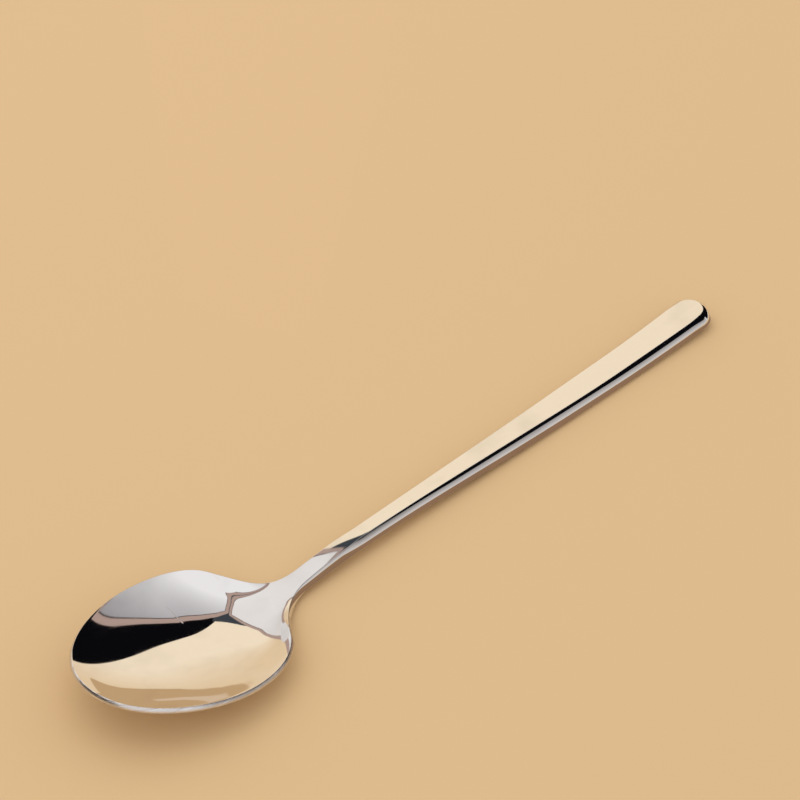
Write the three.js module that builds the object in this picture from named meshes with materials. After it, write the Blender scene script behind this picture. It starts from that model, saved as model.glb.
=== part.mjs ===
// A polished steel tablespoon lying on a table: a round, shallow bowl and a slim bar handle.
// Millimetres. +X runs from the tip of the bowl to the end of the handle, and +Z is up.
// The table is at z = 0, and the origin is under the middle of the spoon's length.
//
// Plan: half an outline, made of four curves and a round end, is mirrored about the X axis.
// Side view: the rim or top, the bowl's floor and the underside are smooth lines through named heights.
// The bowl is pressed below its rim, and its floor runs out level into the neck.
// The bowl is thin sheet, and the handle is a thick bar. They are butt welded where the neck is narrowest.
import * as THREE from "three";
import { mergeVertices } from "three/addons/utils/BufferGeometryUtils.js";

// Plan. A station is a distance from the tip along X, and a reach is how far a curve runs on straight.
const overall_length = 205;
const bowl_half_width = 21.85;
const widest_station = 29.3;
const nose_roundness = 13.95;
const nose_reach = 11.8;
const back_reach = 11.2;
const shoulder_station = 47.5;
const shoulder_half_width = 14;
const shoulder_slope = 1.45;
const shoulder_reach_front = 2.25;
const shoulder_reach_back = 7.5;
const neck_station = 64;
const neck_half_width = 2.9;
const neck_reach_front = 4.35;
const neck_reach_back = 50.5;
const handle_half_width = 5.52;
const handle_reach = 90.5;
const handle_taper = 1.29;
const end_round = 5.6;

// Side view: heights of the rim and the handle's top above the table.
const tip_height = 13.6;
const tip_slope = -0.21;
const heel_station = 45.2;
const heel_height = 6.85;
const hollow_end_station = 57;
const hollow_end_height = 3.05;
const hollow_end_slope = 0.12;
const arch_station = 80;
const arch_height = 5.07;
const sag_station = 163;
const sag_height = 3.76;
const end_height = 5.27;
const end_slope = 0.07;

// Metal: the sheet of the bowl, its rim, and the bar of the handle.
const bowl_wall = 1.35;
const rim_height = 1.3;
const rim_corner = 0.35;
const neck_thickness = 2.6;
const neck_under_slope = 0.05;
const arch_thickness = 2.95;
const end_thickness = 3.7;
// The bar's side, by how far it leans from level: a crisp corner, a bulging bevel and a round lower edge.
const bar_corner = 0.2;
const bevel_start = 42;
const bevel_end = 74;
const lower_share = 0.25;

// The bowl's floor along its middle: steep at the tip, then a slant to the belly, which lies on the table.
const tip_floor_slope = -0.6;
const slant_station = 20;
const slant_height = 5.6;
const slant_slope = -0.25;
const belly_station = 43.5;
// Across the bowl: 0 is a plain dish, and more makes the floor flatter and the walls steeper.
const bowl_fullness = -0.22;
const heel_fullness = 0.82;
const fullness_start = 32.5;
const fullness_end = 48.5;
// Round the shoulders the wall eases outwards again under its rim.
const shoulder_ease = 1.12;
const ease_start = 32.2;
const ease_end = 47.3;

// The flat on the underside of the handle that the spoon rests on.
const rest_start = 150;
const rest_end = 172;

// Steps of the mesh along each curve, across the top and round an edge, where the rim's two corners
// have as many steps together as the three arcs of the bar.
const nose_steps = 16;
const back_steps = 10;
const shoulder_steps = 12;
const flank_steps = 26;
const end_steps = 9;
const bowl_across = 18;
const handle_across = 4;
const corner_steps = 4;
const bar_steps = [2, 3, 3];

const point = (x, y) => new THREE.Vector2(x, y);

const end_station = overall_length - end_round;
const nose = new THREE.CubicBezierCurve(
  point(0, 0),
  point(0, nose_roundness),
  point(widest_station - nose_reach, bowl_half_width),
  point(widest_station, bowl_half_width),
);
const back = new THREE.CubicBezierCurve(
  point(widest_station, bowl_half_width),
  point(widest_station + back_reach, bowl_half_width),
  point(
    shoulder_station - shoulder_reach_front,
    shoulder_half_width + shoulder_slope * shoulder_reach_front,
  ),
  point(shoulder_station, shoulder_half_width),
);
const shoulder = new THREE.CubicBezierCurve(
  point(shoulder_station, shoulder_half_width),
  point(
    shoulder_station + shoulder_reach_back,
    shoulder_half_width - shoulder_slope * shoulder_reach_back,
  ),
  point(neck_station - neck_reach_front, neck_half_width),
  point(neck_station, neck_half_width),
);
const flank = new THREE.CubicBezierCurve(
  point(neck_station, neck_half_width),
  point(neck_station + neck_reach_back, neck_half_width),
  point(end_station - handle_reach, handle_half_width - handle_taper),
  point(end_station, handle_half_width),
);
const round_end = new THREE.EllipseCurve(
  end_station,
  0,
  end_round,
  handle_half_width,
  Math.PI / 2,
  0,
  true,
);

// Places along curves that follow each other, each with its outward direction in plan.
function places_along(runs) {
  const places = [];
  for (const [curve, steps] of runs) {
    for (let i = places.length > 0 ? 1 : 0; i <= steps; i += 1) {
      const tangent = curve.getTangent(i / steps);
      places.push({
        at: curve.getPoint(i / steps),
        out: point(-tangent.y, tangent.x),
      });
    }
  }
  return places;
}

// A smooth line through knots of station, height and slope, with a cubic between each two.
function line_through(knots) {
  return (s) => {
    let i = 0;
    while (i < knots.length - 2 && s > knots[i + 1][0]) {
      i += 1;
    }
    const [s0, z0, m0] = knots[i];
    const [s1, z1, m1] = knots[i + 1];
    const run = s1 - s0;
    const u = (s - s0) / run;
    const blend = u * u * (3 - 2 * u);
    const lead = u * (1 - u) * (1 - u) * run * m0;
    const trail = u * u * (u - 1) * run * m1;
    return z0 + (z1 - z0) * blend + lead + trail;
  };
}

// The bowl's rim falls from the tip, levels out at the heel and drops round the shoulders to the neck.
const top_line = line_through([
  [0, tip_height, tip_slope],
  [heel_station, heel_height, 0],
  [hollow_end_station, hollow_end_height, hollow_end_slope],
  [arch_station, arch_height, 0],
  [sag_station, sag_height, 0],
  [overall_length, end_height, end_slope],
]);

// Half width of the bowl and the front of the neck, by halving along the curve that holds the station.
function half_width(s) {
  const curves = [nose, back, shoulder];
  const curve = curves.find((c) => s <= c.v3.x) ?? shoulder;
  let low = 0;
  let high = 1;
  for (let i = 0; i < 40; i += 1) {
    const middle = (low + high) / 2;
    if (curve.getPoint(middle).x < s) {
      low = middle;
    } else {
      high = middle;
    }
  }
  return curve.getPoint(low).y;
}

// Height of the upper surface along the middle. At the belly only the sheet is between it and the table.
const floor_line = line_through([
  [0, tip_height, tip_floor_slope],
  [slant_station, slant_height, slant_slope],
  [belly_station, bowl_wall, 0],
  [hollow_end_station, hollow_end_height, hollow_end_slope],
]);
const middle_line = (s) => (s < hollow_end_station ? floor_line(s) : top_line(s));

// Share of the depth at a part u of the half width: all of it in the middle and none at the rim.
function depth_share(s, u) {
  const turn = THREE.MathUtils.smoothstep(s, fullness_start, fullness_end);
  const fullness = THREE.MathUtils.lerp(bowl_fullness, heel_fullness, turn);
  const ease = shoulder_ease * THREE.MathUtils.smoothstep(s, ease_start, ease_end);
  return (1 - u * u) * (1 + fullness * u * u - ease * u ** 4);
}

// Height of the upper surface at a place.
function upper(s, y) {
  const rim = top_line(s);
  if (s >= hollow_end_station) {
    return rim;
  }
  const u = Math.min(Math.abs(y) / Math.max(half_width(s), 1e-9), 1);
  return rim - (rim - middle_line(s)) * depth_share(s, u);
}

// The underside along the middle keeps the sheet's thickness under the bowl, then runs on under the
// neck and the handle, with a flat to rest on.
const under_line = line_through([
  [belly_station, 0, 0],
  [neck_station, top_line(neck_station) - neck_thickness, neck_under_slope],
  [arch_station, arch_height - arch_thickness, 0],
  [rest_start, 0, 0],
  [rest_end, 0, 0],
  [overall_length, end_height - end_thickness, end_slope],
]);
const middle_thickness = (s) => (s < belly_station ? bowl_wall : middle_line(s) - under_line(s));

// From the square rim of the bowl, 0, to the round side of the handle, 1.
function roundness(s) {
  return THREE.MathUtils.smoothstep(s, widest_station, neck_station);
}

const edge_thickness = (s) => THREE.MathUtils.lerp(rim_height, middle_thickness(s), roundness(s));

// The edge of the bowl's rim, as steps out and down: two round corners with an upright between them.
function rim_edge(thickness) {
  const corner = [];
  for (let i = 1; i <= corner_steps; i += 1) {
    const angle = (i / corner_steps) * (Math.PI / 2);
    corner.push([rim_corner * Math.sin(angle), rim_corner * (1 - Math.cos(angle))]);
  }
  return [...corner, ...corner.map(([reach, drop]) => [reach, thickness - drop]).reverse()];
}

// The side of the bar, as steps out and down: three arcs that follow each other without a break.
function bar_edge(thickness) {
  const lean = [0, bevel_start, bevel_end, 180].map(THREE.MathUtils.degToRad);
  const lower = thickness * lower_share;
  const spare = thickness - bar_corner * (1 - Math.cos(lean[1])) - lower * (1 + Math.cos(lean[2]));
  const radii = [bar_corner, spare / (Math.cos(lean[1]) - Math.cos(lean[2])), lower];
  const path = [];
  let from = [0, 0];
  radii.forEach((radius, arc) => {
    for (let i = 1; i <= bar_steps[arc]; i += 1) {
      const angle = THREE.MathUtils.lerp(lean[arc], lean[arc + 1], i / bar_steps[arc]);
      path.push([
        from[0] + radius * (Math.sin(angle) - Math.sin(lean[arc])),
        from[1] + radius * (Math.cos(lean[arc]) - Math.cos(angle)),
      ]);
    }
    from = path[path.length - 1];
  });
  return path;
}

function edge_at(s) {
  const bar = bar_edge(edge_thickness(s));
  return rim_edge(edge_thickness(s)).map(([reach, drop], i) => [
    THREE.MathUtils.lerp(reach, bar[i][0], roundness(s)),
    THREE.MathUtils.lerp(drop, bar[i][1], roundness(s)),
  ]);
}

const widest_reach = (path) => Math.max(...path.map(([reach]) => reach));

// One closed ring of points at a place of the outline: across the top, round the near edge, back under
// the bottom and round the far edge.
function ring(place, across) {
  const { at, out } = place;
  const inset = widest_reach(edge_at(at.x));
  const inner = point(at.x, at.y).addScaledVector(out, -inset);
  const path = edge_at(inner.x);
  const stretch = inset / widest_reach(path);
  const edge = edge_thickness(inner.x);
  const belly = middle_thickness(inner.x) - edge;
  const side_top = upper(inner.x, inner.y);
  const edge_path = path.map(([reach, drop]) => [reach * stretch, side_top - drop]);
  const points = [];
  const put = (x, y, z) => points.push(new THREE.Vector3(x - overall_length / 2, y, z));
  const put_edge = (side, path) => {
    for (const [reach, z] of path) {
      put(inner.x + reach * out.x, side * (inner.y + reach * out.y), z);
    }
  };
  for (let i = 0; i <= across; i += 1) {
    const y = inner.y * (1 - (2 * i) / across);
    put(inner.x, y, upper(inner.x, y));
  }
  put_edge(-1, edge_path);
  for (let i = 0; i <= across; i += 1) {
    const u = (2 * i) / across - 1;
    put(inner.x, inner.y * u, upper(inner.x, inner.y * u) - edge - belly * (1 - u * u));
  }
  put_edge(1, edge_path.toReversed());
  return points;
}

// A closed body over a row of rings. A ring at the tip or at the handle's end is folded flat and closes
// by itself, and the ring at the weld is filled with a flat face.
function body_over(rings, weld_at_end) {
  const count = rings[0].length;
  const weld = weld_at_end ? rings[rings.length - 1] : rings[0];
  const centre = weld.reduce((sum, p) => sum.add(p), new THREE.Vector3()).divideScalar(count);
  const points = [...rings.flat(), centre];
  const faces = [];
  for (let r = 0; r + 1 < rings.length; r += 1) {
    for (let i = 0; i < count; i += 1) {
      const a = r * count + i;
      const b = r * count + ((i + 1) % count);
      faces.push([a, b, b + count], [a, b + count, a + count]);
    }
  }
  const first = weld_at_end ? (rings.length - 1) * count : 0;
  for (let i = 0; i < count; i += 1) {
    const a = first + i;
    const b = first + ((i + 1) % count);
    faces.push(weld_at_end ? [a, b, points.length - 1] : [b, a, points.length - 1]);
  }
  const same = (a, b) => points[a].distanceToSquared(points[b]) < 1e-8;
  const kept = faces.filter(([a, b, c]) => !same(a, b) && !same(b, c) && !same(c, a));
  const geometry = new THREE.BufferGeometry();
  geometry.setAttribute(
    "position",
    new THREE.Float32BufferAttribute(points.flatMap((p) => p.toArray()), 3),
  );
  geometry.setIndex(kept.flat());
  const closed = mergeVertices(geometry, 1e-4);
  closed.computeVertexNormals();
  return closed;
}

const polished_steel = {
  color: 0xd8d4ce,
  roughness: 0.06,
  metalness: 1,
};

const bowl_places = places_along([
  [nose, nose_steps],
  [back, back_steps],
  [shoulder, shoulder_steps],
]);
const bowl = new THREE.Mesh(
  body_over(
    bowl_places.map((place) => ring(place, bowl_across)),
    true,
  ),
  new THREE.MeshStandardMaterial(polished_steel),
);
bowl.name = "bowl";

const handle_places = places_along([
  [flank, flank_steps],
  [round_end, end_steps],
]);
const handle = new THREE.Mesh(
  body_over(
    handle_places.map((place) => ring(place, handle_across)),
    false,
  ),
  new THREE.MeshStandardMaterial(polished_steel),
);
handle.name = "handle";

const spoon = new THREE.Group();
spoon.add(bowl, handle);

export default spoon;
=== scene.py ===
"""A mirror-polished table spoon lying on a tan table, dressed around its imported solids.

Sizes of the spoon are millimetres, as in the part's own source, and turn into metres when a mesh is made.
Sizes of the studio are metres. A station is a distance from the bowl's tip along +X.
"""

import logging
import math
from dataclasses import dataclass, field
from enum import Enum
from functools import cache

import bpy
import numpy as np
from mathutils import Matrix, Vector


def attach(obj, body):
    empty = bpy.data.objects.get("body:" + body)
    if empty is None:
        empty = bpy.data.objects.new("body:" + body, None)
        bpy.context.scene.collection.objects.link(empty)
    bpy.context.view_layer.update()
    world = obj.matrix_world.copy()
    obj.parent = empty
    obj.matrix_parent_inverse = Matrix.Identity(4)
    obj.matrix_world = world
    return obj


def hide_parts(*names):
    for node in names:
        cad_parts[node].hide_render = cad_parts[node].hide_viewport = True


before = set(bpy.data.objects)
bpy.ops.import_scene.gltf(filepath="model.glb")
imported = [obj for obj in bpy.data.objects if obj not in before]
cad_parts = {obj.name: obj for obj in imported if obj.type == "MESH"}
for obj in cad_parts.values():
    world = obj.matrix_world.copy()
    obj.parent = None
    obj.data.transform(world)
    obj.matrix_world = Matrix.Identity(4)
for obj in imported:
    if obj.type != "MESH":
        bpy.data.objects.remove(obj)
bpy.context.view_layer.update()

LOG = logging.getLogger("spoon")
MM = 0.001
UP = (0.0, 0.0, 1.0)

# Points that round to the same multiple of this length are one point.
JOIN_REACH = 1e-7
# A divisor is never smaller than this.
TINY = 1e-12

Array = np.ndarray
Colour = tuple[float, float, float]
Knots = tuple[tuple[float, float, float], ...]
Bearing = tuple[float, float]
Path = tuple[tuple[float, float], ...]


class Side(Enum):
    """The two pieces of the spoon, which meet at the weld."""

    BOWL = "bowl"
    HANDLE = "handle"


class Layer(Enum):
    """The finishes of a piece's faces, by their place among its materials."""

    MIRROR = 0
    BRUSHED = 1


def smoothstep(value: Array, low: float, high: float) -> Array:
    """A smooth step from 0 at low to 1 at high: the cubic 3u^2 - 2u^3 of the share u between them."""
    share = np.clip((value - low) / (high - low), 0.0, 1.0)
    return share * share * (3.0 - 2.0 * share)


def bezier(points: Path, steps: int) -> Array:
    """A cubic Bezier curve: its four points weighted by (1-t)^3, 3t(1-t)^2, 3t^2(1-t) and t^3.

    Args:
        points: The four points.
        steps: How many steps the curve has.

    Returns:
        An array of steps + 1 points.
    """
    t = np.linspace(0.0, 1.0, steps + 1)[:, None]
    a, b, c, d = (np.asarray(p, float) for p in points)
    return (1 - t) ** 3 * a + 3 * t * (1 - t) ** 2 * b + 3 * t * t * (1 - t) * c + t**3 * d


@dataclass(frozen=True)
class SideLine:
    """A line of the side view through knots of station, height and slope, eased over a short window."""

    knots: Knots
    window: float = 4.0
    taps: int = 33

    def raw(self, station: Array) -> Array:
        """The cubic between each two knots that has their heights and slopes.

        Args:
            station: Where to read the line.

        Returns:
            The height at each station.
        """
        table = np.asarray(self.knots, float)
        i = np.clip(np.searchsorted(table[:, 0], station) - 1, 0, len(table) - 2)
        (s0, z0, m0), (s1, z1, m1) = table[i].T, table[i + 1].T
        inside = np.clip(station, table[0, 0], table[-1, 0])
        run = s1 - s0
        u = (inside - s0) / run
        height = z0 + (z1 - z0) * u * u * (3 - 2 * u)
        height = height + u * (1 - u) ** 2 * run * m0 + u * u * (u - 1) * run * m1
        before = np.minimum(station - table[0, 0], 0.0) * table[0, 2]
        beyond = np.maximum(station - table[-1, 0], 0.0) * table[-1, 2]
        return height + before + beyond

    def at(self, station: Array) -> Array:
        """The mean of the raw line under a raised cosine, so that its bend changes without a jump.

        Args:
            station: Where to read the line.

        Returns:
            The eased height at each station.
        """
        station = np.asarray(station, float)
        shift = np.linspace(-1.0, 1.0, self.taps + 2)[1:-1]
        weight = 1.0 + np.cos(np.pi * shift)
        around = station[..., None] + self.window * shift
        flat = self.raw(around.reshape(-1)).reshape(around.shape)
        return flat @ (weight / weight.sum())


def ring_normals(rings: Array) -> Array:
    """Outward directions of a surface of rings: the cross product of its steps along and round.

    Args:
        rings: Rings by points by three.

    Returns:
        Unit directions in the same shape.
    """
    along = np.gradient(rings, axis=0)
    round_ring = np.roll(rings, -1, axis=1) - np.roll(rings, 1, axis=1)
    normal = np.cross(round_ring, along)
    length = np.linalg.norm(normal, axis=2, keepdims=True)
    return normal / np.maximum(length, TINY)


def add_mesh(name: str, points: Array, faces: Array) -> bpy.types.Object:
    """A new object from points and faces.

    Args:
        name: The object's name.
        points: Points by three, in metres.
        faces: Faces by corners, each corner a place among the points.

    Returns:
        The new object, at the origin.
    """
    mesh = bpy.data.meshes.new(name)
    mesh.from_pydata(points.tolist(), [], faces.tolist())
    piece = bpy.data.objects.new(name, mesh)
    bpy.context.scene.collection.objects.link(piece)
    return piece


def ring_mesh(
    name: str, rings: Array, normals: Array, along: Array, layers: Array, cap: int
) -> bpy.types.Object:
    """A closed mesh over rings, with coincident points joined and one end ring filled flat.

    Args:
        name: The object's name.
        rings: Rings by points by three, in metres.
        normals: The outward direction at each point.
        along: How far along the outline each ring is, kept as the attribute "along".
        layers: The place of each cell's material.
        cap: The ring that is filled: 0 for the first or -1 for the last.

    Returns:
        The new object, at the origin.
    """
    count, size, _ = rings.shape
    grid = np.arange(count * size).reshape(count, size)
    following = np.roll(grid, -1, axis=1)
    a, b, c, d = grid[:-1], following[:-1], following[1:], grid[1:]
    sides = np.vstack([np.stack(t, axis=-1).reshape(-1, 3) for t in ((a, b, c), (a, c, d))])
    centre = np.full(size, count * size)
    ends = (grid[cap], following[cap]) if cap else (following[cap], grid[cap])
    fan = np.stack([*ends, centre], axis=-1)
    points = np.vstack([rings.reshape(-1, 3), rings[cap].mean(axis=0)])
    outward = np.vstack([normals.reshape(-1, 3), [[1.0 if cap else -1.0, 0.0, 0.0]]])

    keys = np.round(points / JOIN_REACH).astype(np.int64)
    _, first, joined = np.unique(keys, axis=0, return_index=True, return_inverse=True)
    joined = joined.reshape(-1)
    faces = joined[np.vstack([sides, fan])]
    slots = np.concatenate([layers.reshape(-1), layers.reshape(-1), np.zeros(size, np.int32)])
    open_faces = (faces != np.roll(faces, 1, axis=1)).all(axis=1)
    lengths = np.append(np.repeat(along, size), along[cap])
    total = np.zeros((len(first), 3))
    np.add.at(total, joined, outward)
    total /= np.maximum(np.linalg.norm(total, axis=1, keepdims=True), TINY)

    piece = add_mesh(name, points[first], faces[open_faces])
    mesh = piece.data
    mesh.polygons.foreach_set("material_index", slots[open_faces])
    mesh.attributes.new("along", "FLOAT", "POINT").data.foreach_set("value", lengths[first])
    mesh.validate()
    mesh.polygons.foreach_set("use_smooth", np.ones(len(mesh.polygons), dtype=bool))
    mesh.normals_split_custom_set_from_vertices(total.tolist())
    return piece


def grid_mesh(name: str, points: Array) -> bpy.types.Object:
    """An open sheet over a grid of points.

    Args:
        name: The object's name.
        points: Rows by columns by three, in metres.

    Returns:
        The new object, at the origin.
    """
    rows, columns, _ = points.shape
    grid = np.arange(rows * columns).reshape(rows, columns)
    corners = (grid[:-1, :-1], grid[:-1, 1:], grid[1:, 1:], grid[1:, :-1])
    return add_mesh(name, points.reshape(-1, 3), np.stack(corners, axis=-1).reshape(-1, 4))


def polygon_mesh(name: str, points: Array) -> bpy.types.Object:
    """A flat sheet with one face inside an outline, given by its points in order, in metres."""
    return add_mesh(name, points, np.arange(len(points))[None, :])


class Nodes:
    """A node tree with short ways to add nodes and links to it."""

    def __init__(self, tree: bpy.types.NodeTree) -> None:
        """Keeps the tree to build in."""
        self.tree = tree

    def feed(self, node: bpy.types.Node, inputs: dict[str | int, object]) -> bpy.types.Node:
        """Fills a node's inputs.

        Args:
            node: The node.
            inputs: By input, a socket to link or a value to set. A colour is given without its alpha.

        Returns:
            The same node.
        """
        for key, value in inputs.items():
            socket = node.inputs[key]
            if isinstance(value, bpy.types.NodeSocket):
                self.tree.links.new(value, socket)
            else:
                socket.default_value = (*value, 1.0) if socket.type == "RGBA" else value
        return node

    def add(self, kind: str, inputs: dict[str | int, object], **options: object) -> bpy.types.Node:
        """Adds a node and fills its inputs.

        Args:
            kind: The node's type, without its prefix.
            inputs: By input, a socket to link or a value to set.
            options: The node's own settings, set before its inputs.

        Returns:
            The new node.
        """
        node = self.tree.nodes.new(f"ShaderNode{kind}")
        for option, value in options.items():
            setattr(node, option, value)
        return self.feed(node, inputs)

    def math(self, operation: str, *values: object) -> bpy.types.NodeSocket:
        """Adds a sum on values, named by the Math node's operation."""
        return self.add("Math", dict(enumerate(values)), operation=operation).outputs[0]

    def vector(self, operation: str, output: str, *values: object) -> bpy.types.NodeSocket:
        """Adds a sum on vectors, named by the Vector Math node's operation and its output."""
        return self.add("VectorMath", dict(enumerate(values)), operation=operation).outputs[output]

    def blend(self, share: bpy.types.NodeSocket, under: object, over: Colour) -> bpy.types.NodeSocket:
        """Adds a colour laid over another, itself a socket or a value, by a share."""
        layers = {"Factor": share, "A": under, "B": over}
        return self.add("Mix", layers, data_type="RGBA").outputs["Result"]


def new_material(name: str) -> tuple[bpy.types.Material, Nodes]:
    """A new material and its tree of nodes.

    Args:
        name: The material's name.

    Returns:
        The material, and its tree with a Principled shader and an output in it.
    """
    material = bpy.data.materials.new(name)
    material.use_nodes = True
    return material, Nodes(material.node_tree)


def node_group(
    name: str, vectors: tuple[str, ...], values: tuple[str, ...], output: str
) -> bpy.types.NodeTree:
    """A shader node group with its sockets and nothing else.

    Args:
        name: The group's name.
        vectors: The names of its vector inputs.
        values: The names of its value inputs.
        output: The name of its one output, a value.

    Returns:
        The group, with nodes named Start and End for its inputs and its output.
    """
    tree = bpy.data.node_groups.new(name, "ShaderNodeTree")
    for title in vectors:
        tree.interface.new_socket(title, in_out="INPUT", socket_type="NodeSocketVector")
    for title in values:
        tree.interface.new_socket(title, in_out="INPUT", socket_type="NodeSocketFloat")
    tree.interface.new_socket(output, in_out="OUTPUT", socket_type="NodeSocketFloat")
    tree.nodes.new("NodeGroupInput").name = "Start"
    tree.nodes.new("NodeGroupOutput").name = "End"
    return tree


@cache
def streaks_group() -> bpy.types.NodeTree:
    """Streaks: noise in stretched cells, cut off between a low and a high level.

    Returns:
        The node group, made once.
    """
    tree = node_group("streaks", ("Place", "Cell"), ("Low", "High"), "Streaks")
    nodes = Nodes(tree)
    start = tree.nodes["Start"].outputs
    place = nodes.vector("DIVIDE", "Vector", start["Place"], start["Cell"])
    noise = nodes.add("TexNoise", {"Vector": place, "Scale": 1.0, "Detail": 2.0})
    level = {"Value": noise.outputs[0], "From Min": start["Low"], "From Max": start["High"]}
    cut = nodes.add("MapRange", level)
    nodes.feed(tree.nodes["End"], {"Streaks": cut.outputs["Result"]})
    return tree


@cache
def scratch_group() -> bpy.types.NodeTree:
    """A straight scratch seen from above: full on the line from a start along a way, none past its width.

    Returns:
        The node group, made once.
    """
    tree = node_group("scratch", ("Place", "From", "Way"), ("Width",), "Mark")
    nodes = Nodes(tree)
    start = tree.nodes["Start"].outputs
    level = nodes.vector("MULTIPLY", "Vector", start["Place"], (1.0, 1.0, 0.0))
    offset = nodes.vector("SUBTRACT", "Vector", level, start["From"])
    reach = nodes.vector("DOT_PRODUCT", "Value", offset, start["Way"])
    full = nodes.vector("DOT_PRODUCT", "Value", start["Way"], start["Way"])
    share = nodes.add("Math", {0: reach, 1: full}, operation="DIVIDE", use_clamp=True).outputs[0]
    foot = nodes.add("VectorMath", {0: start["Way"], "Scale": share}, operation="SCALE").outputs["Vector"]
    gap = nodes.vector("LENGTH", "Value", nodes.vector("SUBTRACT", "Vector", offset, foot))
    mark = nodes.add("MapRange", {"Value": gap, "From Min": start["Width"], "From Max": 0.0})
    nodes.feed(tree.nodes["End"], {"Mark": mark.outputs["Result"]})
    return tree


@dataclass(frozen=True)
class Streaks:
    """Streaks of a finish: a cell's size in metres, and the noise levels where they start and are full."""

    cell: tuple[float, float, float]
    low: float
    high: float

    def mask(self, nodes: Nodes, place: bpy.types.NodeSocket) -> bpy.types.NodeSocket:
        """Adds the streaks at a place to a material's tree."""
        inputs = {"Place": place, "Cell": self.cell, "Low": self.low, "High": self.high}
        return nodes.add("Group", inputs, node_tree=streaks_group()).outputs[0]


@dataclass(frozen=True)
class Scratch:
    """A scratch in the polish: start and end on the plan and width, in millimetres, and strength."""

    start: tuple[float, float]
    end: tuple[float, float]
    width: float
    strength: float

    def mark(self, nodes: Nodes, place: bpy.types.NodeSocket) -> bpy.types.NodeSocket:
        """Adds the scratch to a material's tree.

        Args:
            nodes: The tree to add to.
            place: The place that is shaded.

        Returns:
            How strongly the scratch marks the place.
        """
        way = np.subtract(self.end, self.start) * MM
        line = {
            "Place": place,
            "From": (self.start[0] * MM, self.start[1] * MM, 0.0),
            "Way": (float(way[0]), float(way[1]), 0.0),
            "Width": self.width * MM,
        }
        mark = nodes.add("Group", line, node_tree=scratch_group()).outputs[0]
        return nodes.math("MULTIPLY", mark, self.strength)


SCRATCHES = (
    Scratch((-68.9, 13.2), (-68.8, 8.2), 0.16, 0.8),
    Scratch((-68.8, 8.3), (-68.8, 8.0), 0.3, 1.0),
    Scratch((36.6, 2.9), (38.6, 2.2), 0.12, 0.5),
    Scratch((84.0, 1.5), (85.6, 0.6), 0.12, 0.35),
    Scratch((-48.4, 1.9), (-51.4, -4.6), 0.5, 0.12),
)


@dataclass(frozen=True)
class MirrorSteel:
    """Mirror-polished stainless steel with hairlines, dull smudges and a few scratches."""

    colour: Colour = (0.86, 0.85, 0.84)
    dull_colour: Colour = (0.78, 0.77, 0.76)
    # Scratches are real wear; their paler tint is a painted glint.
    scratch_glint_colour: Colour = (0.95, 0.94, 0.93)
    roughness: float = 0.03
    hairlines: Streaks = Streaks(cell=(0.03, 0.0003, 0.006), low=0.58, high=0.78)
    hairline_roughness: float = 0.03
    smudges: Streaks = Streaks(cell=(0.011, 0.008, 0.008), low=0.5, high=0.8)
    smudge_roughness: float = 0.03
    scratch_roughness: float = 0.45

    def material(self) -> bpy.types.Material:
        """The finish as a material: rougher where it is marked, duller on its smudges, and paler on its
        scratches as a painted glint.

        Returns:
            The material.
        """
        material, nodes = new_material("mirror_steel")
        place = nodes.add("TexCoord", {}).outputs["Object"]
        lines = self.hairlines.mask(nodes, place)
        dull = self.smudges.mask(nodes, place)
        rough = nodes.math("MULTIPLY_ADD", lines, self.hairline_roughness, self.roughness)
        rough = nodes.math("MULTIPLY_ADD", dull, self.smudge_roughness, rough)
        tint = nodes.blend(dull, self.colour, self.dull_colour)
        for scratch in SCRATCHES:
            mark = scratch.mark(nodes, place)
            rough = nodes.math("MULTIPLY_ADD", mark, self.scratch_roughness, rough)
            # Painted glint: the scratch's tint is paler than the steel.
            tint = nodes.blend(mark, tint, self.scratch_glint_colour)
        looks = {"Metallic": 1.0, "Roughness": rough, "Base Color": tint}
        nodes.feed(nodes.tree.nodes["Principled BSDF"], looks)
        return material


@dataclass(frozen=True)
class BrushedSteel:
    """The bowl's edge, brushed along its length."""

    colour: Colour = (0.84, 0.82, 0.81)
    line_colour: Colour = (0.50, 0.46, 0.44)
    roughness: float = 0.20
    line_roughness: float = 0.14
    brushing: Streaks = Streaks(cell=(0.007, 0.00012, 1.0), low=0.35, high=0.7)
    bump_strength: float = 0.35
    bump_depth: float = 0.00004

    def material(self) -> bpy.types.Material:
        """The finish as a material, with its lines along the outline and stacked by height.

        Returns:
            The material.
        """
        material, nodes = new_material("brushed_steel")
        along = nodes.add("Attribute", {}, attribute_name="along").outputs["Fac"]
        up = nodes.add("SeparateXYZ", {0: nodes.add("TexCoord", {}).outputs["Object"]}).outputs["Z"]
        lines = self.brushing.mask(nodes, nodes.add("CombineXYZ", {"X": along, "Y": up}).outputs[0])
        relief = {"Height": lines, "Strength": self.bump_strength, "Distance": self.bump_depth}
        looks = {
            "Metallic": 1.0,
            "Roughness": nodes.math("MULTIPLY_ADD", lines, self.line_roughness, self.roughness),
            "Base Color": nodes.blend(lines, self.colour, self.line_colour),
            "Normal": nodes.add("Bump", relief).outputs["Normal"],
        }
        nodes.feed(nodes.tree.nodes["Principled BSDF"], looks)
        return material


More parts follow.
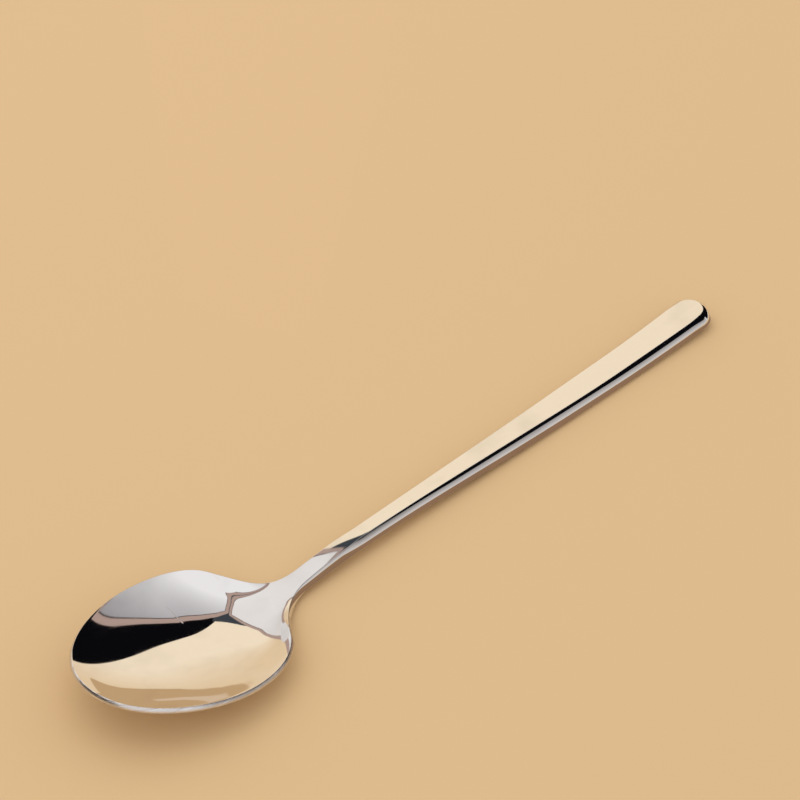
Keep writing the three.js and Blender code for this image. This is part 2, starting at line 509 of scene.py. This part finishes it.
@dataclass
class Spoon:
    """The whole spoon as one closed surface, cut at the weld into a bowl and a handle."""

    overall_length: float = 205.0
    bowl_half_width: float = 21.85
    widest_station: float = 29.3
    nose_roundness: float = 13.95
    nose_reach: float = 11.8
    back_reach: float = 11.2
    shoulder_station: float = 47.5
    shoulder_half_width: float = 14.0
    shoulder_slope: float = 1.45
    shoulder_reach_front: float = 2.25
    shoulder_reach_back: float = 7.5
    neck_station: float = 64.0
    neck_half_width: float = 2.9
    neck_reach_front: float = 4.35
    neck_reach_back: float = 50.5
    handle_half_width: float = 5.7
    handle_reach: float = 90.5
    handle_taper: float = 1.29
    end_round: float = 5.6

    tip_height: float = 13.58
    tip_slope: float = -0.21
    heel_station: float = 45.2
    heel_height: float = 6.85
    hollow_end_station: float = 57.0
    hollow_end_height: float = 3.05
    hollow_end_slope: float = 0.12
    arch_station: float = 80.0
    arch_height: float = 5.07
    sag_station: float = 163.0
    sag_height: float = 3.76
    end_height: float = 5.27
    end_slope: float = 0.07

    bowl_wall: float = 1.35
    rim_height: float = 1.3
    neck_thickness: float = 2.6
    neck_under_slope: float = 0.05
    arch_thickness: float = 2.95
    end_thickness: float = 3.7
    edge_corner: float = 0.2
    bevel_start: float = math.radians(46.0)
    bevel_turns: tuple[tuple[float, float, float], ...] = (
        (math.radians(14.0), 42.0, 60.0),
        (math.radians(-18.0), 73.0, 82.0),
        (math.radians(-5.0), 150.0, 180.0),
        (math.radians(-12.0), 195.0, 201.0),
    )
    bevel_end: float = math.radians(74.0)
    lower_share: float = 0.25

    tip_floor_slope: float = -0.6
    slant_station: float = 20.0
    slant_height: float = 5.6
    slant_slope: float = -0.25
    belly_station: float = 43.5
    bowl_fullness: float = -0.22
    heel_fullness: float = 0.82
    fullness_start: float = 32.5
    fullness_end: float = 48.5
    shoulder_ease: float = 1.12
    ease_start: float = 32.2
    ease_end: float = 47.3
    crown: float = 0.17
    crown_rise: tuple[float, float] = (50.0, 64.0)
    crown_fade: tuple[float, float] = (70.0, 105.0)

    rest_start: float = 150.0
    rest_end: float = 172.0
    brushed_end: float = 52.0

    nose_steps: int = 90
    back_steps: int = 60
    shoulder_steps: int = 70
    flank_steps: int = 150
    end_steps: int = 40
    across: int = 84
    edge_steps: tuple[int, int, int] = (4, 7, 5)

    outline: Array = field(init=False, repr=False)
    top: SideLine = field(init=False, repr=False)
    floor: SideLine = field(init=False, repr=False)
    under: SideLine = field(init=False, repr=False)

    def __post_init__(self) -> None:
        """Works out the outline and the lines of the side view from the sizes."""
        rim = (
            (0.0, self.tip_height, self.tip_slope),
            (self.heel_station, self.heel_height, 0.0),
        )
        hollow = (
            (0.0, self.tip_height, self.tip_floor_slope),
            (self.slant_station, self.slant_height, self.slant_slope),
            (self.belly_station, self.bowl_wall, 0.0),
        )
        bar = (
            (self.hollow_end_station, self.hollow_end_height, self.hollow_end_slope),
            (self.arch_station, self.arch_height, 0.0),
            (self.sag_station, self.sag_height, 0.0),
            (self.overall_length, self.end_height, self.end_slope),
        )
        self.top = SideLine(rim + bar)
        self.floor = SideLine(hollow + bar)
        neck_top = float(self.top.raw(np.array([self.neck_station]))[0])
        self.under = SideLine(
            (
                (self.belly_station, 0.0, 0.0),
                (self.neck_station, neck_top - self.neck_thickness, self.neck_under_slope),
                (self.arch_station, self.arch_height - self.arch_thickness, 0.0),
                (self.rest_start, 0.0, 0.0),
                (self.rest_end, 0.0, 0.0),
                (self.overall_length, self.end_height - self.end_thickness, self.end_slope),
            )
        )
        self.outline = self._outline()

    def _curves(self) -> list[tuple[Path, int]]:
        """The four Bezier curves of the half outline.

        Returns:
            The four points of each curve, and its steps.
        """
        widest = (self.widest_station, self.bowl_half_width)
        shoulder = (self.shoulder_station, self.shoulder_half_width)
        neck = (self.neck_station, self.neck_half_width)
        end_station = self.overall_length - self.end_round
        end = (end_station, self.handle_half_width)
        slope = self.shoulder_slope
        front, back = self.shoulder_reach_front, self.shoulder_reach_back
        nose_out = (widest[0] - self.nose_reach, widest[1])
        back_out = (widest[0] + self.back_reach, widest[1])
        shoulder_in = (shoulder[0] - front, shoulder[1] + slope * front)
        shoulder_out = (shoulder[0] + back, shoulder[1] - slope * back)
        neck_in = (neck[0] - self.neck_reach_front, neck[1])
        neck_out = (neck[0] + self.neck_reach_back, neck[1])
        end_in = (end_station - self.handle_reach, end[1] - self.handle_taper)
        return [
            (((0.0, 0.0), (0.0, self.nose_roundness), nose_out, widest), self.nose_steps),
            ((widest, back_out, shoulder_in, shoulder), self.back_steps),
            ((shoulder, shoulder_out, neck_in, neck), self.shoulder_steps),
            ((neck, neck_out, end_in, end), self.flank_steps),
        ]

    def _outline(self) -> Array:
        """The half outline: four curves and a quarter ellipse at the end, one point per ring.

        Returns:
            An array of places, each a station and a half width.
        """
        runs = [bezier(points, steps)[1:] for points, steps in self._curves()]
        angle = np.linspace(np.pi / 2, 0.0, self.end_steps + 1)[1:]
        end_station = self.overall_length - self.end_round
        arc = np.stack(
            [end_station + self.end_round * np.cos(angle), self.handle_half_width * np.sin(angle)],
            axis=1,
        )
        return np.vstack([np.zeros((1, 2)), *runs, arc])

    def half_width(self, station: Array) -> Array:
        """The half width of the outline at each station."""
        return np.interp(station, self.outline[:, 0], self.outline[:, 1])

    def out_share(self, station: Array, y: Array) -> Array:
        """How far out a place is, as a share of the half width at its station."""
        return np.abs(y) / np.maximum(self.half_width(station), TINY)

    def upper(self, station: Array, y: Array) -> Array:
        """The upper surface: the rim's height less the depth times (1 - u^2)(1 + k u^2 - e u^4).

        Here u is the share of the half width, k grows from the bowl's fullness to the heel's, and e grows
        round the shoulders, where the wall eases outwards under its rim.

        Args:
            station: Where along the spoon.
            y: Where across it.

        Returns:
            The height at each place.
        """
        rim = self.top.at(station)
        u2 = np.minimum(self.out_share(station, y), 1.0) ** 2
        turn = smoothstep(station, self.fullness_start, self.fullness_end)
        fullness = self.bowl_fullness + (self.heel_fullness - self.bowl_fullness) * turn
        ease = self.shoulder_ease * smoothstep(station, self.ease_start, self.ease_end)
        depth = rim - self.floor.at(station)
        return rim - depth * (1.0 - u2) * (1.0 + fullness * u2 - ease * u2 * u2)

    def crown_fall(self, station: Array, y: Array) -> Array:
        """How far the crowned top of the neck falls to its sides: the crown times u^2, faded in and out."""
        crown = smoothstep(station, *self.crown_rise) * (1.0 - smoothstep(station, *self.crown_fade))
        return self.crown * crown * self.out_share(station, y) ** 2

    def middle_thickness(self, station: Array) -> Array:
        """The sheet's thickness under the bowl, and the bar's from the belly on."""
        bar = self.floor.at(station) - self.under.at(station)
        return np.where(station < self.belly_station, self.bowl_wall, np.maximum(bar, self.bowl_wall))

    def edge_thickness(self, station: Array) -> Array:
        """The height of the edge, from the rim's to the bar's full thickness."""
        turn = smoothstep(station, self.widest_station, self.neck_station)
        return self.rim_height + (self.middle_thickness(station) - self.rim_height) * turn

    def edge(self, station: Array) -> Array:
        """The edge: a crisp corner, a bulging bevel and a round lower edge, arcs that share their tangents.

        An arc of radius r between two leans goes out by r times the change of the sine and down by r times
        the fall of the cosine. The bevel is steepest at the neck and flattest round the handle's end, and its
        radius fills the thickness.

        Args:
            station: Where along the spoon.

        Returns:
            Places by steps by two: how far out and how far down.
        """
        thickness = self.edge_thickness(station)
        bevel_start = self.bevel_start + sum(
            change * smoothstep(station, first, last) for change, first, last in self.bevel_turns
        )
        level = np.zeros_like(thickness)
        lean = (level, bevel_start, level + self.bevel_end, level + math.pi)
        lower = thickness * self.lower_share
        corner = level + self.edge_corner
        spare = thickness - corner * (1.0 - np.cos(lean[1])) - lower * (1.0 + np.cos(lean[2]))
        bevel = spare / (np.cos(lean[1]) - np.cos(lean[2]))
        start = np.zeros((len(thickness), 1, 2))
        arcs = []
        for radius, low, high, steps in zip((corner, bevel, lower), lean, lean[1:], self.edge_steps):
            angle = low[:, None] + (high - low)[:, None] * np.linspace(0.0, 1.0, steps + 1)[1:]
            out = np.sin(angle) - np.sin(low)[:, None]
            down = np.cos(low)[:, None] - np.cos(angle)
            arcs.append(start + radius[:, None, None] * np.stack([out, down], axis=-1))
            start = arcs[-1][:, -1:]
        return np.concatenate(arcs, axis=1)

    def rings(self) -> Array:
        """Closed rings of points, one per place of the outline.

        A ring runs across the top, round the near edge, back under the bottom and round the far edge.
        Across the top and the bottom the points share out the inner width evenly. The inner width leaves
        room for the edge, whose widest reach comes out at the outline.

        Returns:
            An array of rings by points by three, in millimetres in the part's frame.
        """
        place = self.outline
        tangent = np.gradient(place, axis=0)
        tangent /= np.linalg.norm(tangent, axis=1, keepdims=True)
        tangent[0] = (0.0, 1.0)
        tangent[-1] = (0.0, -1.0)
        out = np.stack([-tangent[:, 1], tangent[:, 0]], axis=1)
        inset = self.edge(place[:, 0])[..., 0].max(axis=1)
        inner = place - out * inset[:, None]
        inner[:, 1] = np.maximum(inner[:, 1], 0.0)
        station = inner[:, 0]
        edge = self.edge_thickness(station)
        belly = self.middle_thickness(station) - edge
        side_low = self.upper(station, inner[:, 1]) - edge
        side_fall = self.crown_fall(station, inner[:, 1])

        path = self.edge(station)
        edge_reach = path[..., 0] * (inset / path[..., 0].max(axis=1))[:, None]
        edge_z = side_low[:, None] + (edge[:, None] - path[..., 1]) * (1.0 - side_fall / edge)[:, None]
        edge_x = inner[:, :1] + edge_reach * out[:, :1]
        edge_y = inner[:, 1:] + edge_reach * out[:, 1:]

        u = np.linspace(1.0, -1.0, self.across + 1)[None, :]
        flat_x = np.repeat(station[:, None], self.across + 1, axis=1)
        top_y = inner[:, 1:] * u
        full_z = self.upper(flat_x, top_y)
        top_z = full_z - self.crown_fall(flat_x, top_y)
        low_y = top_y[:, ::-1]
        low_z = full_z[:, ::-1] - edge[:, None] - belly[:, None] * (1.0 - u[:, ::-1] ** 2)

        x = np.hstack([flat_x, edge_x, flat_x, edge_x[:, ::-1]])
        y = np.hstack([top_y, -edge_y, low_y, edge_y[:, ::-1]])
        z = np.hstack([top_z, edge_z, low_z, edge_z[:, ::-1]])
        return np.stack([x - self.overall_length / 2, y, z], axis=-1)

    def brushed_cells(self) -> Array:
        """Which cells of the ring grid lie on the brushed edge of the bowl.

        Returns:
            Rings less one by points: true on the edge, from the tip to where the brushing ends.
        """
        edge = sum(self.edge_steps) + 1
        top = self.across
        column = np.arange(2 * (top + 1) + 2 * (edge - 1))
        near = (column >= top) & (column < top + edge)
        far = column >= 2 * top + edge
        return (self.outline[:-1, :1] < self.brushed_end) & (near | far)

    def build(self, mirror: MirrorSteel, brushed: BrushedSteel) -> None:
        """Makes the bowl and the handle, dresses them and sets them in their nodes' places.

        Args:
            mirror: The finish of the bowl and the handle.
            brushed: The finish of the bowl's edge.
        """
        rings = self.rings()
        normals = ring_normals(rings)
        weld = self.nose_steps + self.back_steps + self.shoulder_steps
        run = np.linalg.norm(np.diff(self.outline, axis=0), axis=1)
        along = np.concatenate([[0.0], np.cumsum(run)]) * MM
        cells = self.brushed_cells()
        materials = {Layer.MIRROR: mirror.material(), Layer.BRUSHED: brushed.material()}
        for side in Side:
            is_bowl = side is Side.BOWL
            part = slice(0, weld + 1) if is_bowl else slice(weld, None)
            between = cells[:weld] if is_bowl else cells[weld:]
            layers = np.where(between, Layer.BRUSHED.value, Layer.MIRROR.value).astype(np.int32)
            cap = -1 if is_bowl else 0
            name = f"{side.value}_polished"
            piece = ring_mesh(name, rings[part] * MM, normals[part], along[part], layers, cap)
            for layer in Layer if is_bowl else (Layer.MIRROR,):
                piece.data.materials.append(materials[layer])
            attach(piece, "root")
            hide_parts(side.value)
            LOG.info("%s: %d triangles", piece.name, len(piece.data.polygons))


@dataclass(frozen=True)
class Fade:
    """A change to another colour along a straight direction, from where it starts to where it is full."""

    axis: tuple[float, float, float]
    start: float
    end: float
    colour: Colour


def glow(name: str, colour: Colour, fade: Fade | None = None) -> bpy.types.Material:
    """A studio surface that shines in one colour, which may fade to another.

    Args:
        name: The material's name.
        colour: The colour.
        fade: The fade that is laid over it.

    Returns:
        The material.
    """
    material, nodes = new_material(name)
    nodes.tree.nodes.remove(nodes.tree.nodes["Principled BSDF"])
    shown = colour
    if fade is not None:
        place = nodes.add("TexCoord", {}).outputs["Object"]
        reach = nodes.vector("DOT_PRODUCT", "Value", place, fade.axis)
        share = nodes.add("MapRange", {"Value": reach, "From Min": fade.start, "From Max": fade.end})
        shown = nodes.blend(share.outputs["Result"], colour, fade.colour)
    shine = nodes.add("Emission", {"Color": shown}).outputs[0]
    nodes.feed(nodes.tree.nodes["Material Output"], {"Surface": shine})
    return material


DARK: Colour = (0.003, 0.003, 0.004)
SLATE: Colour = (0.05, 0.058, 0.068)


@dataclass(frozen=True)
class RoundSheet:
    """A sheet of a cylinder round the bowl, between azimuths and elevations in degrees.

    It may stand back by some metres, and its colour may fade from the table up to another at its top.
    """

    name: str
    azimuths: Bearing
    elevations: Bearing
    back: float = 0.0
    colour: Colour = DARK
    top_colour: Colour | None = None


ROUND_SHEETS = (
    RoundSheet("dark_right", azimuths=(66.0, 99.0), elevations=(22.0, 52.0)),
    RoundSheet("dark_low", azimuths=(44.0, 75.0), elevations=(2.0, 50.0)),
    RoundSheet("dark_left", azimuths=(-152.0, -82.0), elevations=(0.0, 60.0)),
    RoundSheet(
        "grey_side",
        azimuths=(78.0, 130.0),
        elevations=(-0.5, 36.0),
        back=0.02,
        colour=(0.72, 0.68, 0.66),
        top_colour=(0.05, 0.045, 0.045),
    ),
)


@dataclass(frozen=True)
class LevelSheet:
    """A level sheet near the lights: its reach to the right and away, and its lift over them, in metres."""

    name: str
    right: Bearing
    away: Bearing
    lift: float
    colour: Colour

    def corners(self) -> Array:
        """The sheet's four corners in order, to the right and away."""
        (left, right), (near, far) = self.right, self.away
        return np.array([(left, near), (right, near), (right, far), (left, far)])


LEVEL_SHEETS = (
    LevelSheet("light_gap", right=(-0.16, 0.17), away=(-0.22, 0.86), lift=0.004, colour=SLATE),
    LevelSheet("dark_over", right=(0.4, 1.35), away=(-0.5, 1.2), lift=0.006, colour=DARK),
    LevelSheet("dark_beside", right=(-1.8, -0.85), away=(-0.8, 0.1), lift=-0.004, colour=DARK),
)


@dataclass(frozen=True)
class SoftLight:
    """A flat soft light over the bowl: a face that dims along one direction, with a frame at some edges.

    Points are metres to the camera's right and away from it. The frame lies between its outer and inner
    edges, and the closing points complete the face's outline.
    """

    name: str
    outer: Path
    inner: Path
    closing: Path
    bright: Colour
    dim: Colour
    toward: Bearing = (0.6, 0.8)
    dim_start: float = 0.1
    dim_end: float = 1.1
    line: float = 0.14


SOFT_LIGHTS = (
    SoftLight(
        name="right_light",
        outer=(
            (0.004, -0.22), (0.004, 0.66), (0.13, 0.765), (0.29, 0.835), (0.38, 0.845),
            (0.46, 0.925), (0.53, 0.99), (0.63, 1.1), (0.9, 1.4),
        ),
        inner=(
            (0.05, -0.22), (0.05, 0.6), (0.15, 0.67), (0.31, 0.74), (0.4, 0.76),
            (0.475, 0.845), (0.545, 0.93), (0.63, 1.035), (0.9, 1.33),
        ),
        closing=((0.72, 0.98), (0.6, 0.74), (0.48, 0.3), (0.48, -3.0), (0.0, -3.0), (0.0, -0.26)),
        bright=(0.93, 0.91, 0.92),
        dim=(0.36, 0.34, 0.35),
    ),
    SoftLight(
        name="left_light",
        outer=((-0.483, 1.387), (-0.28, 1.03), (-0.12, 0.83), (-0.004, 0.71), (-0.004, -0.22)),
        inner=((-0.567, 1.355), (-0.33, 0.995), (-0.15, 0.79), (-0.035, 0.69), (-0.045, -0.22)),
        closing=((0.0, -0.26), (0.0, -3.0), (-12.0, -3.0), (-12.0, 9.5), (-6.6, 9.5)),
        bright=(0.90, 0.87, 0.85),
        dim=(0.80, 0.75, 0.72),
    ),
)


@dataclass
class Studio:
    """A tan table under a wide soft light, with a cream wall behind and dark openings round it.

    Studio places are metres from the bowl along the camera's right, the way it looks, and up. Bearings are
    degrees: an azimuth to the camera's right and an elevation.
    """

    turn: float = math.radians(44.54)
    origin: tuple[float, float] = (-0.060, 0.0)
    rows: int = 61
    columns: int = 97

    floor_half: float = 3.0
    floor_drop: float = 2e-5
    floor_colour: Colour = (0.745, 0.505, 0.262)
    floor_roughness: float = 0.9
    floor_shine: float = 0.1
    # Painted shadow that only the steel mirrors: a dark sheet over the table beside the handle stands in for
    # its shadow there, and one behind the bowl is painted shade on the far table.
    shade_lift: float = 4e-5
    shade_colour: Colour = (0.30, 0.175, 0.10)
    shade: Path = (
        (-0.04, -0.0031), (0.03, -0.0038), (0.097, -0.0058), (0.112, -0.003), (0.112, -0.2), (-0.04, -0.2),
    )
    shade_far: Path = ((-9.0, 0.12), (8.0, 0.1), (8.0, 1.44), (-9.0, 1.44))

    wall_radius: float = 1.5
    wall_colour: Colour = (1.0, 0.84, 0.63)
    # Painted shade: the wall fades to this darker colour towards the table, and its foot sheet is darker
    # still, where the wall meets the table.
    wall_low_shade_colour: Colour = (0.85, 0.64, 0.41)
    wall_low: tuple[float, float] = (8.0, 24.0)
    wall_left: tuple[Bearing, Bearing] = ((-38.5, 0.0), (-9.0, 48.0))
    wall_right: tuple[Bearing, Bearing] = ((25.8, 0.0), (9.0, 47.0))
    wall_bottom: float = -0.5
    wall_shelf: float = 31.5
    wall_top: float = 47.6
    wall_behind: float = -60.0
    strip_width: float = 3.5
    strip_gap: float = 0.005
    foot_gap: float = 0.08
    # Painted shade at the wall's foot, also used for the painted shade on the table behind the bowl.
    foot_shade_colour: Colour = (0.58, 0.38, 0.20)
    foot: Path = (
        (14.9, 10.6), (13.5, 10.3), (11.8, 9.7), (10.2, 9.1), (8.9, 8.8), (6.4, 8.6), (4.4, 9.2),
        (0.8, 10.1), (-2.2, 9.8), (-4.4, 8.0), (-5.8, 7.4), (-7.7, 7.7), (-9.3, 8.1), (-10.6, 8.4),
        (-11.6, 8.4), (-11.6, 4.0), (-8.0, -0.5), (6.2, -0.5), (7.8, 1.1), (10.3, 4.5), (12.9, 7.9),
    )
    patch_gap: float = 0.1
    patch_colour: Colour = (0.72, 0.53, 0.36)
    patch: Path = (
        (-0.5, 1.2), (-3.0, 4.0), (-5.0, 5.2), (-6.4, 6.3), (-5.0, 3.7), (-3.2, 2.6), (-1.2, 0.6),
    )
    dark_radius: float = 1.6
    dark_right: float = 45.0
    dark_top: float = 53.0
    dark_overlap: float = 2.9

    light_height: float = 0.9
    frame_colour: Colour = (0.47, 0.34, 0.29)
    line_colour: Colour = (0.06, 0.045, 0.04)

    world_colour: Colour = (0.86, 0.86, 0.88)
    ambient: float = 0.99
    lamp_power: float = 2.15
    lamp_size: tuple[float, float] = (1.1, 1.1)
    lamp_place: tuple[float, float, float] = (-0.25, 0.35, 0.95)

    def place(self, right: Array | float, away: Array | float, up: Array | float) -> Array:
        """Turns studio places into the part's frame.

        Args:
            right: Distance to the camera's right.
            away: Distance along the way the camera looks.
            up: Height over the table.

        Returns:
            Points in metres, with their three coordinates in the last axis.
        """
        right, away, up = np.broadcast_arrays(right, away, up)
        cos, sin = math.cos(self.turn), math.sin(self.turn)
        x = self.origin[0] + right * cos + away * sin
        y = self.origin[1] - right * sin + away * cos
        return np.stack([x, y, up], axis=-1)

    def show(self, sheet: bpy.types.Object, material: bpy.types.Material) -> None:
        """Dresses a sheet and hides it from all but the steel's reflections.

        Args:
            sheet: The sheet.
            material: Its material.
        """
        sheet.data.materials.append(material)
        sheet.visible_camera = False
        sheet.visible_diffuse = False
        sheet.visible_shadow = False
        LOG.info("stage: %s", sheet.name)

    def table(self) -> None:
        """The table: a flat square sheet."""
        sides = (-self.floor_half, self.floor_half)
        x, y = np.meshgrid(sides, sides)
        sheet = grid_mesh("table", np.stack([x, y, np.full_like(x, -self.floor_drop)], axis=-1))
        material, nodes = new_material("table_tan")
        looks = {
            "Base Color": self.floor_colour,
            "Roughness": self.floor_roughness,
            "Specular IOR Level": self.floor_shine,
        }
        nodes.feed(nodes.tree.nodes["Principled BSDF"], looks)
        sheet.data.materials.append(material)

    def edge(self, ends: tuple[Bearing, Bearing], elevation: Array) -> Array:
        """Azimuths of a straight edge: the plane through two bearings, solved at each elevation.

        Args:
            ends: The two bearings.
            elevation: Elevations in radians.

        Returns:
            Azimuths in radians.
        """
        (az0, el0), (az1, el1) = np.radians(ends)
        one = (math.cos(el0) * math.sin(az0), math.cos(el0) * math.cos(az0), math.sin(el0))
        two = (math.cos(el1) * math.sin(az1), math.cos(el1) * math.cos(az1), math.sin(el1))
        m1, m2, m3 = np.cross(two, one)
        lean = np.clip(-m3 * np.tan(elevation) / math.hypot(m1, m2), -1.0, 1.0)
        return np.arcsin(lean * np.sign(m1)) - math.atan2(m2 * np.sign(m1), abs(m1))

    def elevations(self, low: float, high: float) -> Array:
        """The elevations of a round sheet's rows in radians, between two given in degrees."""
        return np.radians(np.linspace(low, high, self.rows))

    def round_sheet(
        self, name: str, rows: Array, left: Array | float, right: Array | float, radius: float
    ) -> bpy.types.Object:
        """A sheet of a cylinder round the bowl between two azimuths at each elevation.

        Args:
            name: The object's name.
            rows: The elevation of each row, in radians.
            left: The left azimuth of each row, or of all.
            right: The right azimuth of each row, or of all.
            radius: The cylinder's radius.

        Returns:
            The new object.
        """
        left, right, rows = (side[:, None] for side in np.broadcast_arrays(left, right, rows))
        share = np.linspace(0.0, 1.0, self.columns)[None, :]
        azimuth = left * (1 - share) + right * share
        up = radius * np.tan(rows)
        return grid_mesh(name, self.place(radius * np.sin(azimuth), radius * np.cos(azimuth), up))

    def bearing_sheet(self, name: str, outline: Path, distance: float) -> bpy.types.Object:
        """A flat upright sheet facing the camera, inside an outline of bearings.

        Args:
            name: The object's name.
            outline: Bearings, in order.
            distance: How far away it stands.

        Returns:
            The new object.
        """
        azimuth, elevation = np.radians(outline).T
        right = distance * np.tan(azimuth)
        up = distance * np.tan(elevation) / np.cos(azimuth)
        return polygon_mesh(name, self.place(right, distance, up))

    def level_sheet(self, name: str, outline: Array, lift: float = 0.0) -> bpy.types.Object:
        """A level sheet over the table, inside points to the right and away, lifted over the lights."""
        return polygon_mesh(name, self.place(*outline.T, self.light_height + lift))

    def wall(self) -> None:
        """The cream wall, its brown strip at the left, its foot darkened by painted shade and a patch beside
        the foot.
        """
        below = self.elevations(self.wall_bottom, self.wall_shelf)
        above = self.elevations(self.wall_shelf, self.wall_top)
        left = self.edge(self.wall_left, below)
        behind = math.radians(self.wall_behind)
        full, start = (self.wall_radius * math.tan(math.radians(height)) for height in self.wall_low)
        # Painted shade: the wall darkens towards its foot.
        cream = glow("wall_cream", self.wall_colour, Fade(UP, start, full, self.wall_low_shade_colour))
        right_low, right_high = (self.edge(self.wall_right, rows) for rows in (below, above))
        self.show(self.round_sheet("wall", below, left, right_low, self.wall_radius), cream)
        self.show(self.round_sheet("wall_top", above, behind, right_high, self.wall_radius), cream)
        strip_right = left + math.radians(self.strip_width)
        strip = self.round_sheet("wall_strip", below, left, strip_right, self.wall_radius - self.strip_gap)
        self.show(strip, glow("wall_strip", self.frame_colour))
        # Painted shade: a darker sheet at the wall's foot.
        foot = self.bearing_sheet("wall_foot_shade", self.foot, self.wall_radius - self.foot_gap)
        self.show(foot, glow("wall_foot_shade", self.foot_shade_colour))
        patch = self.bearing_sheet("wall_patch", self.patch, self.wall_radius - self.patch_gap)
        self.show(patch, glow("wall_patch", self.patch_colour))

    def openings(self) -> None:
        """The dark opening beside the wall and the dark and grey sheets farther round."""
        tall = self.elevations(self.wall_bottom, self.dark_top)
        left = self.edge(self.wall_right, tall) - math.radians(self.dark_overlap)
        right = math.radians(self.dark_right)
        opening = self.round_sheet("dark_opening", tall, left, right, self.dark_radius)
        self.show(opening, glow("dark_opening", DARK))
        for form in ROUND_SHEETS:
            rows = self.elevations(*form.elevations)
            radius = self.dark_radius + form.back
            sheet = self.round_sheet(form.name, rows, *np.radians(form.azimuths), radius)
            top = self.dark_radius * math.tan(rows[-1])
            fade = Fade(UP, 0.0, top, form.top_colour) if form.top_colour else None
            self.show(sheet, glow(form.name, form.colour, fade))

    def shades(self) -> None:
        """Painted shadow on the table as the steel mirrors it: darker sheets beside the handle and behind the
        bowl.
        """
        beside = np.array([(x, y, self.shade_lift) for x, y in self.shade])
        self.show(polygon_mesh("painted_shadow_beside", beside), glow("painted_shadow_beside", self.shade_colour))
        # Painted shade behind the bowl, in the colour of the wall's shaded foot.
        azimuth, away = np.array(self.shade_far).T
        behind = self.place(away * np.tan(np.radians(azimuth)), away, self.shade_lift)
        self.show(polygon_mesh("painted_shade_behind", behind), glow("painted_shade_behind", self.foot_shade_colour))

    def lights(self) -> None:
        """The soft lights, each a face, a frame and a thin dark line between them, and the sheets by them."""
        for form in LEVEL_SHEETS:
            sheet = self.level_sheet(form.name, form.corners(), form.lift)
            self.show(sheet, glow(form.name, form.colour))
        frame_material = glow("light_frame", self.frame_colour)
        line_material = glow("light_line", self.line_colour)
        for light in SOFT_LIGHTS:
            outer, inner = np.array(light.outer), np.array(light.inner)
            seam = inner + (outer - inner) * light.line
            face = self.level_sheet(light.name, np.vstack([inner, light.closing]))
            self.show(face, glow(light.name, light.bright, self.dimming(light)))
            frame_sheet = self.level_sheet(f"{light.name}_frame", np.vstack([outer, seam[::-1]]))
            self.show(frame_sheet, frame_material)
            line_sheet = self.level_sheet(f"{light.name}_line", np.vstack([seam, inner[::-1]]))
            self.show(line_sheet, line_material)

    def dimming(self, light: SoftLight) -> Fade:
        """How a light's face dims to the right and away, as a fade in the part's frame.

        Args:
            light: The soft light.

        Returns:
            The fade.
        """
        here = self.place(0.0, 0.0, 0.0)
        axis = self.place(*light.toward, 0.0) - here
        start = float(here @ axis)
        return Fade(tuple(axis.tolist()), start + light.dim_start, start + light.dim_end, light.dim)

    def lamp(self) -> None:
        """The soft lamp that lights the table and casts the shadow."""
        data = bpy.data.lights.new("soft_lamp", "AREA")
        data.shape = "RECTANGLE"
        data.size, data.size_y = self.lamp_size
        data.energy = self.lamp_power
        lamp = bpy.data.objects.new("soft_lamp", data)
        lamp.location = Vector(self.place(*self.lamp_place).tolist())
        lamp.rotation_euler = (0.0, 0.0, -self.turn)
        lamp.visible_camera = False
        lamp.visible_glossy = False
        bpy.context.scene.collection.objects.link(lamp)

    def world(self) -> None:
        """A pale surround for the camera and for reflections, and a softer light for the rest."""
        world = bpy.data.worlds.new("pale_studio")
        bpy.context.scene.world = world
        world.use_nodes = True
        nodes = Nodes(world.node_tree)
        path = nodes.add("LightPath", {}).outputs
        seen = nodes.math("MAXIMUM", path["Is Camera Ray"], path["Is Glossy Ray"])
        seen = nodes.math("MAXIMUM", seen, path["Is Transmission Ray"])
        strength = nodes.add("MapRange", {"Value": seen, "To Min": self.ambient, "To Max": 1.0})
        looks = {"Color": self.world_colour, "Strength": strength.outputs["Result"]}
        nodes.feed(nodes.tree.nodes["Background"], looks)

    def build(self) -> None:
        """Makes the studio."""
        self.table()
        self.wall()
        self.openings()
        self.shades()
        self.lights()
        self.lamp()
        self.world()


@dataclass(frozen=True)
class Camera:
    """The camera at the photograph's place, in metres."""

    place: tuple[float, float, float] = (-0.3212, -0.3185, 0.4271)
    target: tuple[float, float, float] = (0.0225, 0.03075, 0.0)
    lens: float = 117.0
    sensor: float = 36.0
    clip: tuple[float, float] = (0.01, 20.0)

    def build(self) -> None:
        """Makes the camera and sets it as the scene's."""
        data = bpy.data.cameras.new("camera")
        data.lens = self.lens
        data.sensor_width = self.sensor
        data.clip_start, data.clip_end = self.clip
        camera = bpy.data.objects.new("camera", data)
        camera.location = Vector(self.place)
        look = Vector(self.target) - Vector(self.place)
        camera.rotation_euler = look.to_track_quat("-Z", "Y").to_euler()
        bpy.context.scene.collection.objects.link(camera)
        bpy.context.scene.camera = camera


def main() -> None:
    """Builds the camera, the spoon and the studio."""
    logging.basicConfig(level=logging.INFO, format="%(name)s: %(message)s")
    bpy.context.scene.view_settings.view_transform = "Standard"
    Camera().build()
    Spoon().build(MirrorSteel(), BrushedSteel())
    Studio().build()


if __name__ == "__main__":
    main()
